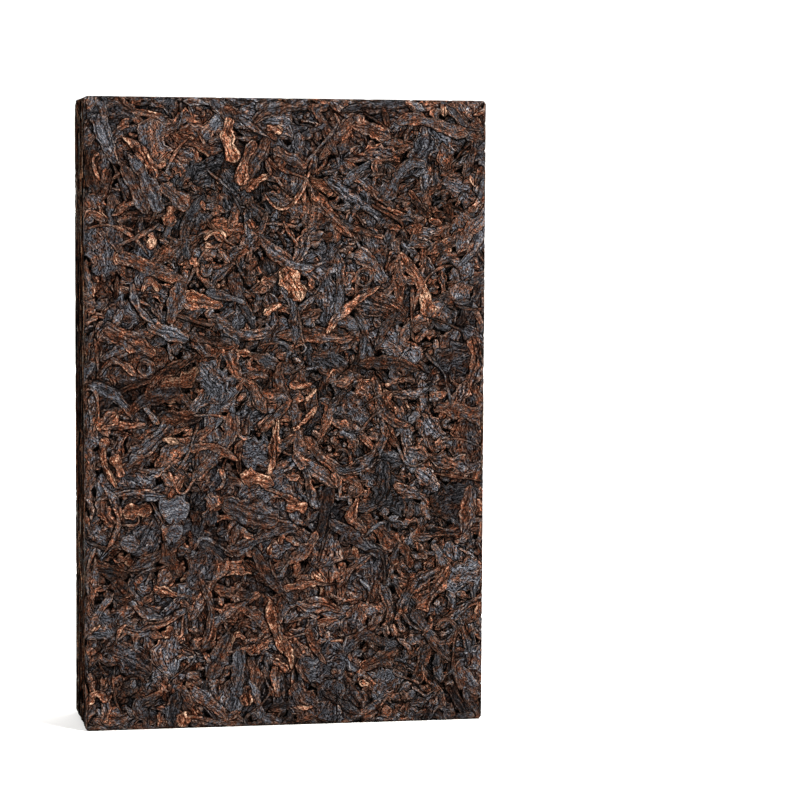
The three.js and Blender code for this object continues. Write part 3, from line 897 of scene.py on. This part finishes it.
def leaf_finish(name, palette, gloss, sheen=0.015, grit=1.0, dim=0.2, lit=0.97, deepest_shade=0.4, gap=0.44):
    """Ripe tea leaf, which is heaped wet to ferment, rolled, dried and pressed. To the eye it is near black
    with a slate bloom, rust and tan on buds and leaf backs, wrinkled along the leaf, and hardly shines.

    Hue runs on a ramp from slate to tan, at a start plus shares of patch, grain and warmth, and warmer at
    parts of the margin. Patch is a noise in the block and grain is a noise of short strokes along the leaf.
    Painted highlights add the pale colour on broken stretches of ridges and lips.
    The colour is multiplied by five shares, three of them painted light and shade: painted shade in the
    creases and a painted highlight on the ridges, along contour lines of a stretched noise and as strong as
    the leaf is wrinkled; painted shade in a dark line along the margin as wide as the gap; painted shade in
    hollows under the nearby bed, down to the deepest shade; then specks of grain as strong as the grit, and
    the leaf's tone between dim and lit. Where the product is low, the painted shade tint colours it."""
    material = bpy.data.materials.new(name)
    material.use_nodes = True
    tree = material.node_tree
    shader = tree.nodes["Principled BSDF"]
    facts = {key: node(tree, "ShaderNodeAttribute", {"attribute_name": key}).outputs["Fac"]
             for key in ("margin", "buried", "tone", "warmth", "wrinkle")}
    fibre = node(tree, "ShaderNodeAttribute", {"attribute_name": "fibre"}).outputs["Vector"]
    place = node(tree, "ShaderNodeTexCoord").outputs["Object"]

    # Wrinkles: contour lines across the leaf, pushed aside by a slow noise. Their creases are painted shade
    # and their tops a painted highlight, and the same pattern raises the bump.
    stretched = node(tree, "ShaderNodeMapping", {}, {"Vector": fibre, "Scale": FLOW_SCALE})
    flow = node(tree, "ShaderNodeTexNoise", {}, {
        "Vector": stretched.outputs["Vector"], "Scale": 1.0, "Detail": 3.0, "Roughness": 0.5})
    across = node(tree, "ShaderNodeSeparateXYZ", {}, {"Vector": fibre})
    sway = node(tree, "ShaderNodeMath", {"operation": "MULTIPLY"}, {0: flow.outputs["Fac"], 1: FLOW_PUSH})
    turns = node(tree, "ShaderNodeMath", {"operation": "MULTIPLY_ADD"}, {
        0: across.outputs["Y"], 1: WRINKLES, 2: sway.outputs["Value"]})
    contour = node(tree, "ShaderNodeMath", {"operation": "PINGPONG"}, {0: turns.outputs["Value"], 1: 0.5})
    # Painted shade in the creases between wrinkles.
    crease = node(tree, "ShaderNodeMapRange", EASED, {
        "Value": contour.outputs["Value"], "From Min": 0.0, "From Max": 0.24})
    # Painted highlight along the tops of the wrinkles.
    painted_ridge_highlight = node(tree, "ShaderNodeMapRange", EASED, {
        "Value": contour.outputs["Value"], "From Min": 0.3, "From Max": 0.5, "To Min": 0.85, "To Max": 1.5})
    painted_fold_light = node(tree, "ShaderNodeMath", {"operation": "MULTIPLY"}, {
        0: crease.outputs["Result"], 1: painted_ridge_highlight.outputs["Result"]})
    wrinkle = node(tree, "ShaderNodeMix", {"data_type": "FLOAT"}, {
        "Factor": facts["wrinkle"], "A": 1.0, "B": painted_fold_light.outputs["Value"]})

    # Grain strokes along the leaf, and patches in the block.
    strokes = node(tree, "ShaderNodeMapping", {}, {"Vector": fibre, "Scale": STROKE_SCALE})
    grain = node(tree, "ShaderNodeTexNoise", {}, {
        "Vector": strokes.outputs["Vector"], "Scale": 1.0, "Detail": 1.0, "Roughness": 0.6})
    patch = node(tree, "ShaderNodeTexNoise", {}, {
        "Vector": place, "Scale": PATCH_SCALE, "Detail": 4.0, "Roughness": 0.8})
    speck = node(tree, "ShaderNodeMapRange", {}, {
        "Value": grain.outputs["Fac"], "From Min": 0.38, "From Max": 0.62,
        "To Min": 1 - grit, "To Max": 1 + 1.15 * grit})
    tint = node(tree, "ShaderNodeSeparateColor", {}, {"Color": grain.outputs["Color"]})

    # Hue, from slate to tan.
    shift = node(tree, "ShaderNodeMath", {"operation": "MULTIPLY_ADD"}, {
        0: patch.outputs["Fac"], 1: PATCH_HUE, 2: HUE_START})
    hue = node(tree, "ShaderNodeMath", {"operation": "MULTIPLY_ADD"}, {
        0: tint.outputs["Green"], 1: GRAIN_HUE, 2: shift.outputs["Value"]})
    edge = node(tree, "ShaderNodeMapRange", EASED, {
        "Value": facts["margin"], "From Min": 0.3, "From Max": 1.0, "To Min": 1.0, "To Max": 0.0})
    gate = node(tree, "ShaderNodeMapRange", {}, {
        "Value": flow.outputs["Fac"], "From Min": 0.45, "From Max": 0.62, "To Max": 0.3})
    rim = node(tree, "ShaderNodeMath", {"operation": "MULTIPLY"}, {
        0: edge.outputs["Result"], 1: gate.outputs["Result"]})
    warmth = node(tree, "ShaderNodeMath", {"operation": "MULTIPLY_ADD"}, {
        0: facts["warmth"], 1: WARMTH_HUE, 2: hue.outputs["Value"]})
    warm = node(tree, "ShaderNodeMath", {"operation": "ADD", "use_clamp": True}, {
        0: warmth.outputs["Value"], 1: rim.outputs["Value"]})
    ramp = node(tree, "ShaderNodeValToRGB", {}, {"Fac": warm.outputs["Value"]})
    stops = ((0.0, "slate"), (0.18, "slate"), (0.38, "umber"), (0.6, "brown"), (0.84, "rust"), (1.0, "tan"))
    while len(ramp.color_ramp.elements) < len(stops):
        ramp.color_ramp.elements.new(0.5)
    for element, (spot, colour) in zip(ramp.color_ramp.elements, stops):
        element.position = spot
        element.color = palette[colour]

    # Painted highlight: the pale colour added on broken stretches of ridges and of the lips beside the
    # margin.
    ridge_glint = node(tree, "ShaderNodeMapRange", EASED, {
        "Value": contour.outputs["Value"], "From Min": 0.34, "From Max": 0.5, "To Max": 0.8})
    lip_glint = node(tree, "ShaderNodeMapRange", EASED, {
        "Value": facts["margin"], "From Min": 0.45, "From Max": 0.75, "To Min": 1.0, "To Max": 0.0})
    glint_places = node(tree, "ShaderNodeMath", {"operation": "MAXIMUM"}, {
        0: ridge_glint.outputs["Result"], 1: lip_glint.outputs["Result"]})
    broken = node(tree, "ShaderNodeMapRange", {}, {
        "Value": tint.outputs["Blue"], "From Min": 0.47, "From Max": 0.62, "To Max": 0.7})
    glinting = node(tree, "ShaderNodeMath", {"operation": "MULTIPLY"}, {
        0: glint_places.outputs["Value"], 1: broken.outputs["Result"]})
    leaf = node(tree, "ShaderNodeMix", {"data_type": "RGBA", "blend_type": "ADD"}, {
        "Factor": glinting.outputs["Value"], "A": ramp.outputs["Color"], "B": palette["pale"]})

    # Painted light and shade, times random specks and tone, as a product of shares.
    # Painted shade where leaves meet: a dark line along each leaf's margin, as wide as the gap.
    outline = node(tree, "ShaderNodeMapRange", EASED, {
        "Value": facts["margin"], "From Min": 0.06, "From Max": gap, "To Min": 0.0})
    # Painted shade in hollows, down to the deepest shade.
    buried = node(tree, "ShaderNodeMapRange", {}, {"Value": facts["buried"], "To Min": 1.0, "To Max": deepest_shade})
    tone = node(tree, "ShaderNodeMapRange", {}, {
        "Value": facts["tone"], "From Min": -0.3, "From Max": 1.3, "To Min": dim, "To Max": lit})
    level = wrinkle.outputs["Result"]
    for share in (outline, buried, speck, tone):
        product = node(tree, "ShaderNodeMath", {"operation": "MULTIPLY"}, {
            0: level, 1: share.outputs["Result"]})
        level = product.outputs["Value"]
    # Painted shade is tinted: where the product is low, the colour is multiplied towards the shade tint.
    tint_by_shade = node(tree, "ShaderNodeMix", {"data_type": "RGBA"}, {
        "Factor": level, "A": palette["dust"], "B": WHITE})
    shade_tinted = node(tree, "ShaderNodeMix", {"data_type": "RGBA", "blend_type": "MULTIPLY"}, {
        "Factor": 1.0, "A": leaf.outputs["Result"], "B": tint_by_shade.outputs["Result"]})
    shade = node(tree, "ShaderNodeMix", {"data_type": "RGBA", "blend_type": "MULTIPLY"}, {
        "Factor": 1.0, "A": shade_tinted.outputs["Result"], "B": level})

    # Relief and gloss.
    height = node(tree, "ShaderNodeMath", {"operation": "MULTIPLY_ADD"}, {
        0: grain.outputs["Fac"], 1: 0.8, 2: wrinkle.outputs["Result"]})
    bump = node(tree, "ShaderNodeBump", {}, {
        "Strength": 1.0, "Distance": RELIEF_DEPTH * MM, "Height": height.outputs["Value"]})
    rough = node(tree, "ShaderNodeMapRange", {}, {
        "Value": patch.outputs["Fac"], "From Min": 0.3, "From Max": 0.7,
        "To Min": gloss, "To Max": gloss + 0.25})
    tree.links.new(shade.outputs["Result"], shader.inputs["Base Color"])
    tree.links.new(bump.outputs["Normal"], shader.inputs["Normal"])
    tree.links.new(rough.outputs["Result"], shader.inputs["Roughness"])
    shader.inputs["IOR"].default_value = LEAF_IOR
    shader.inputs["Specular IOR Level"].default_value = sheen
    return material


def hex_colour(name, description, value):
    """A colour property whose default is an sRGB hex value turned linear."""
    return FloatVectorProperty(name=name, description=description, subtype="COLOR", size=4, min=0, max=1,
                               default=srgb(value))


class TeaBedSettings(bpy.types.PropertyGroup):
    """How the leaves lie."""
    fullness: FloatProperty(name="Fullness", description="Share of the usual number of leaves", default=1.0,
                            min=0.2, max=1.5, subtype="FACTOR")
    seed: IntProperty(name="Seed", description="Starting number of the random draw", default=25)


class TeaColourSettings(bpy.types.PropertyGroup):
    """The colours of fermented and pressed tea, with the painted highlight and the tints of painted shade.
    """
    slate: hex_colour("Slate", "The darkest leaves' bluish black", "#45484f")
    umber: hex_colour("Umber", "Ordinary leaves", "#43342e")
    brown: hex_colour("Brown", "Leaves that kept a brown face", "#533b30")
    rust: hex_colour("Rust", "Leaf backs and scales", "#6d371e")
    tan: hex_colour("Tan", "The palest buds", "#9a7c68")
    # The pale colour is a painted highlight, added on ridges and lips.
    pale: hex_colour("Pale", "Light that worn ridges and lips add", "#6a6058")
    # Tints of painted shade, on the big faces and on the sides.
    dust: hex_colour("Dust", "Tint of the deep places on the big faces", "#fff3eb")
    edge_dust: hex_colour("Edge dust", "Tint of the deep places on the sides", "#ffcbb3")


class TeaStudioSettings(bpy.types.PropertyGroup):
    """The floor, the light and the camera."""
    floor: hex_colour("Floor", "The pale floor", "#f2f1ef")
    key_power: FloatProperty(name="Key light", description="Power of the light on the front", default=24.0,
                             min=0, unit="POWER")
    back_power: FloatProperty(name="Backdrop light", description="Power of the light on the backdrop",
                              default=90.0, min=0, unit="POWER")
    left_power: FloatProperty(name="Left light", description="Power of the light on the floor at the left",
                              default=8.0, min=0, unit="POWER")
    fill: FloatProperty(name="Surrounding light", description="Strength of the pale surroundings",
                        default=0.07, min=0)
    lens: FloatProperty(name="Lens", description="Focal length on a 36 mm wide sensor", default=125.27,
                        min=20, max=400, unit="CAMERA")


# Painted shade on the sides: their leaves take the leaf colours darkened by these shares of each linear
# channel.
SIDE_SHADE = (0.78, 0.8, 0.68, 1)


def tea_colours():
    """The settings' colours by name."""
    tea = bpy.context.scene.tea_colour
    return {key: tuple(getattr(tea, key)) for key in tea.__annotations__}


def side_shade_colours():
    """The same colours darkened by painted shade, as the sides show them."""
    shaded = {key: tuple(np.array(colour) * SIDE_SHADE) for key, colour in tea_colours().items()}
    shaded["dust"] = tea_colours()["edge_dust"]
    return shaded


def add_leaves(name, kinds, material, sides=False):
    """One piece out of every leaf of the given kinds, on the two big faces or else on the sides."""
    parts = [leaf_mesh(group) for chart, groups in pressed_beds() for group in groups
             if group["kind"] in kinds and chart.periodic == sides]
    return build_piece(name, parts, material)


class TEA_OT_core(bpy.types.Operator):
    """Make the dark core of packed crumbs that the leaves are pressed into"""
    bl_idname = "tea.core"
    bl_label = "Packed core"

    def execute(self, context):
        # Tea dust packed by the press: dull, at a low tone and in full painted shade, so near black, seen
        # only down the gaps between leaves.
        core = build_piece("tea_core", [core_mesh()], leaf_finish("tea_dust_packed", tea_colours(), 0.6))
        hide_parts("pressed_tea_brick")
        return {"FINISHED"}


class TEA_OT_rolled(bpy.types.Operator):
    """Press in the long rolled leaves"""
    bl_idname = "tea.rolled"
    bl_label = "Rolled leaves"

    def execute(self, context):
        # Whole leaves rolled into strips: their skin is tight, so its grain is finer and it shines a little.
        finish = leaf_finish("fermented_leaf_rolled", tea_colours(), 0.42, grit=0.8)
        add_leaves("leaves_rolled", (ROLLED,), finish)
        return {"FINISHED"}


class TEA_OT_broken(bpy.types.Operator):
    """Press in the broken rolled leaves"""
    bl_idname = "tea.broken"
    bl_label = "Broken leaves"

    def execute(self, context):
        # Rolled leaves broken short: as the long ones, with a coarser grain.
        add_leaves("leaves_broken", (BROKEN,), leaf_finish("fermented_leaf_broken", tea_colours(), 0.42))
        return {"FINISHED"}


class TEA_OT_twisted(bpy.types.Operator):
    """Press in the short twisted leaves"""
    bl_idname = "tea.twisted"
    bl_label = "Twisted leaves"

    def execute(self, context):
        # Young leaves twisted thin as they dried: a little duller than the rolled ones.
        add_leaves("leaves_twisted", (TWISTED,), leaf_finish("fermented_leaf_twisted", tea_colours(), 0.45))
        return {"FINISHED"}


class TEA_OT_broad(bpy.types.Operator):
    """Press in the broad crumpled leaves"""
    bl_idname = "tea.broad"
    bl_label = "Broad leaves"

    def execute(self, context):
        # Old leaves pressed flat: broad slate faces that shine most of all the leaves.
        add_leaves("leaves_broad", (BROAD,), leaf_finish("fermented_leaf_broad", tea_colours(), 0.4))
        return {"FINISHED"}


class TEA_OT_placed(bpy.types.Operator):
    """Press in the leaves whose places on the front are known"""
    bl_idname = "tea.placed"
    bl_label = "Placed leaves"

    def execute(self, context):
        # The uppermost leaves, which the mould's wall smoothed: the grain is gentler.
        finish = leaf_finish("fermented_leaf_placed", tea_colours(), 0.42, grit=0.7)
        add_leaves("leaves_placed", (PLACED,), finish)
        return {"FINISHED"}


class TEA_OT_stalks(bpy.types.Operator):
    """Press in the thin stalks and the curled stalks"""
    bl_idname = "tea.stalks"
    bl_label = "Stalks and curls"

    def execute(self, context):
        # Woody stalks stripped of their leaves: smooth, with hardly any grain.
        finish = leaf_finish("leaf_stalk", tea_colours(), 0.45, grit=0.45)
        add_leaves("stalks", (STALK, CURL), finish)
        return {"FINISHED"}


class TEA_OT_crumbs(bpy.types.Operator):
    """Press in the crumbs between the leaves"""
    bl_idname = "tea.crumbs"
    bl_label = "Crumbs"

    def execute(self, context):
        # Leaf crushed to crumbs: torn faces, so it is duller than whole leaf.
        finish = leaf_finish("tea_crumb", tea_colours(), 0.5, grit=0.7)
        add_leaves("crumbs", (BIT, CRUMB, RIMWISE), finish)
        return {"FINISHED"}


class TEA_OT_sides(bpy.types.Operator):
    """Press in the leaves that show edge on round the narrow sides"""
    bl_idname = "tea.sides"
    bl_label = "Side leaves"

    def execute(self, context):
        # Leaves seen edge on: dull torn ends in streaks, some painted lit and some in painted shade, with
        # painted black shade in the gaps between the layers.
        finish = leaf_finish("fermented_leaf_edge", side_shade_colours(), 0.7, sheen=0.003, grit=0.75, dim=0.0,
                             lit=2.1, deepest_shade=0.0, gap=0.7)
        add_leaves("leaves_edgewise", (EDGEWISE,), finish, sides=True)
        add_leaves("side_crumbs", (TWISTED, BIT, CRUMB), finish, sides=True)
        return {"FINISHED"}


# Where the camera stands, in metres, and its turn to the left, tip down and roll, in degrees.
CAMERA_PLACE = (-0.0979, -0.6232, 0.1164)
CAMERA_TURN = (-11.43, 3.99, 0.31)
SENSOR_WIDTH = 36.0
NEAREST_SEEN = 0.02

# Each light's place and what it looks at, in metres, and the side of its square.
KEY_LIGHT = ((0.42, -0.47, 0.72), (0.0, 0.0, 0.07), 0.22)
BACK_LIGHT = ((0.0, 1.0, 2.0), (0.0, 2.6, 0.6), 2.0)
LEFT_LIGHT = ((-0.7, 0.3, 0.6), (-0.15, 0.05, 0.03), 0.5)
DAYLIGHT = (1.0, 0.98, 0.95)
PLAIN_LIGHT = (1.0, 1.0, 1.0)


def add_area_light(name, where, power, colour):
    """A soft square light that looks from its place at its aim."""
    place, aim, size = where
    light = bpy.data.lights.new(name, "AREA")
    light.size = size
    light.energy = power
    light.color = colour
    lamp = bpy.data.objects.new(name, light)
    lamp.location = place
    lamp.rotation_mode = "QUATERNION"
    lamp.rotation_quaternion = Vector(np.subtract(aim, place)).to_track_quat("-Z", "Y")
    bpy.context.scene.collection.objects.link(lamp)


def add_camera(focal_length):
    """A camera turned about the upright by the yaw, tipped down by the pitch, then rolled about its look."""
    yaw, pitch, roll = (math.radians(angle) for angle in CAMERA_TURN)
    ahead = np.array([-math.sin(yaw), math.cos(yaw), 0])
    right = np.array([math.cos(yaw), math.sin(yaw), 0])
    up = np.array([0, 0, math.cos(pitch)]) + ahead * math.sin(pitch)
    look = ahead * math.cos(pitch) - np.array([0, 0, math.sin(pitch)])
    rolled_right = right * math.cos(roll) + up * math.sin(roll)
    rolled_up = up * math.cos(roll) - right * math.sin(roll)
    lens = bpy.data.cameras.new("camera")
    lens.lens = focal_length
    lens.sensor_width = SENSOR_WIDTH
    lens.clip_start = NEAREST_SEEN
    camera = bpy.data.objects.new("camera", lens)
    turn = np.eye(4)
    turn[:3] = np.stack([rolled_right, rolled_up, -look, CAMERA_PLACE], -1)
    camera.matrix_world = Matrix(turn.tolist())
    bpy.context.scene.collection.objects.link(camera)
    return camera


def sweep_backdrop(name, half=4.0, reach=2.2, bend=0.9, top=3.0):
    """A pale sheet: flat, then a quarter circle up behind the brick, then upright, carried across."""
    turn = np.linspace(0, math.pi / 2, 33)
    y = np.concatenate([[-half], reach + bend * np.sin(turn), [reach + bend]])
    z = np.concatenate([[0.0], bend - bend * np.cos(turn), [top]])
    x = np.array([-half, half])
    grid = np.stack(np.broadcast_arrays(x[None], y[:, None], z[:, None]), -1)
    index = np.arange(grid.size // 3).reshape(grid.shape[:2])
    quads = np.stack([index[:-1, 0], index[:-1, 1], index[1:, 1], index[1:, 0]], -1)
    mesh = bpy.data.meshes.new(name)
    mesh.from_pydata(grid.reshape(-1, 3).tolist(), [], quads.tolist())
    mesh.shade_smooth()
    sheet = bpy.data.objects.new(name, mesh)
    bpy.context.scene.collection.objects.link(sheet)
    return sheet


class TEA_OT_studio(bpy.types.Operator):
    """Set the pale floor, the soft lights and the camera"""
    bl_idname = "tea.studio"
    bl_label = "Studio"

    def execute(self, context):
        scene = context.scene
        studio = scene.tea_studio
        scene.camera = add_camera(studio.lens)
        floor = sweep_backdrop("floor")
        # Matt white paint on a bent board, with no grain that shows.
        paint = bpy.data.materials.new("painted_floor")
        paint.use_nodes = True
        shader = paint.node_tree.nodes["Principled BSDF"]
        shader.inputs["Base Color"].default_value = studio.floor
        shader.inputs["Roughness"].default_value = 0.8
        floor.data.materials.append(paint)
        world = bpy.data.worlds.new("studio")
        world.use_nodes = True
        surroundings = world.node_tree.nodes["Background"]
        surroundings.inputs["Color"].default_value = WHITE
        surroundings.inputs["Strength"].default_value = studio.fill
        scene.world = world
        add_area_light("key", KEY_LIGHT, studio.key_power, DAYLIGHT)
        add_area_light("backdrop", BACK_LIGHT, studio.back_power, PLAIN_LIGHT)
        add_area_light("left", LEFT_LIGHT, studio.left_power, PLAIN_LIGHT)
        scene.view_settings.view_transform = "Standard"
        return {"FINISHED"}


class TEA_PT_brick(bpy.types.Panel):
    """Tea brick"""
    bl_idname = "TEA_PT_brick"
    bl_label = "Tea brick"
    bl_space_type = "VIEW_3D"
    bl_region_type = "UI"
    bl_category = "Tea brick"

    def draw(self, context):
        layout = self.layout
        for group in (context.scene.tea_bed, context.scene.tea_colour, context.scene.tea_studio):
            for key in group.__annotations__:
                layout.prop(group, key)
        for step in STEPS:
            layout.operator(step.bl_idname)


STEPS = (TEA_OT_studio, TEA_OT_core, TEA_OT_rolled, TEA_OT_broken, TEA_OT_twisted, TEA_OT_broad,
         TEA_OT_placed, TEA_OT_stalks, TEA_OT_crumbs, TEA_OT_sides)
GROUPS = {"tea_bed": TeaBedSettings, "tea_colour": TeaColourSettings, "tea_studio": TeaStudioSettings}


def register():
    """Adds the settings, the operators and the panel."""
    for name, group in GROUPS.items():
        bpy.utils.register_class(group)
        setattr(bpy.types.Scene, name, PointerProperty(type=group))
    for step in (*STEPS, TEA_PT_brick):
        bpy.utils.register_class(step)


def unregister():
    """Takes them away again."""
    for step in (TEA_PT_brick, *reversed(STEPS)):
        bpy.utils.unregister_class(step)
    for name, group in GROUPS.items():
        delattr(bpy.types.Scene, name)
        bpy.utils.unregister_class(group)


def main():
    """Builds the brick and its studio."""
    register()
    for step in STEPS:
        family, name = step.bl_idname.split(".")
        getattr(getattr(bpy.ops, family), name)()


if __name__ == "__main__":
    main()
